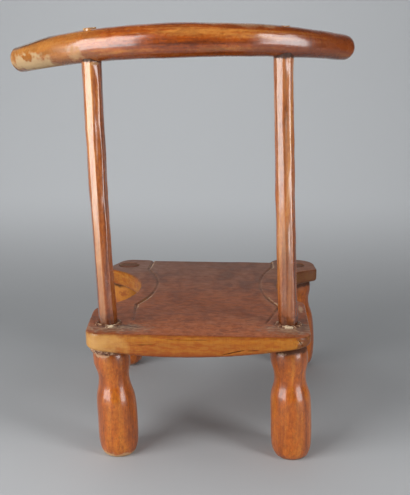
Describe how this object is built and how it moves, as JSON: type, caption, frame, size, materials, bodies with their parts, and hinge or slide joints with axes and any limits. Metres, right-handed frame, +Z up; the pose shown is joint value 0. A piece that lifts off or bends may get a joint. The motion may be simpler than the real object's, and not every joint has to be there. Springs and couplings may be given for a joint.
{
  "type": "birthing chair",
  "caption": "Low hand-carved hardwood chair with a butterfly-shaped plank seat, bottle-shaped legs, two slender posts and a bent crest rail.",
  "frame": {"origin": "on the floor, below the middle of the chair's overall size", "axes": "+Z up, the sitter faces -Y, the sitter's left is +X"},
  "size_m": [0.4754, 0.4452, 0.6],
  "materials": {
    "seat_wood": "hand-adzed hardwood, worn dark varnish",
    "leg_wood": "whittled hardwood, glossy amber varnish",
    "post_wood": "whittled hardwood, glossy brown varnish",
    "rail_wood": "smoothed bent branch, glossy amber varnish, worn pale at one end",
    "wedge_wood": "split hardwood, end grain, bare",
    "filler": "dried wood filler, matt and dusty"
  },
  "bodies": {
    "root": {"seat": "seat_wood", "crest_rail": "rail_wood", "leg_front_left": "leg_wood", "leg_front_right": "leg_wood", "leg_rear_left": "leg_wood", "leg_rear_right": "leg_wood", "post_left": "post_wood", "post_right": "post_wood", "wedge_front_left": "wedge_wood", "wedge_front_right": "wedge_wood", "wedge_post_left": "wedge_wood", "wedge_post_right": "wedge_wood", "filler_post_left": "filler", "filler_post_right": "filler", "filler_leg_rear_left": "filler"}
  },
  "joints": []
}
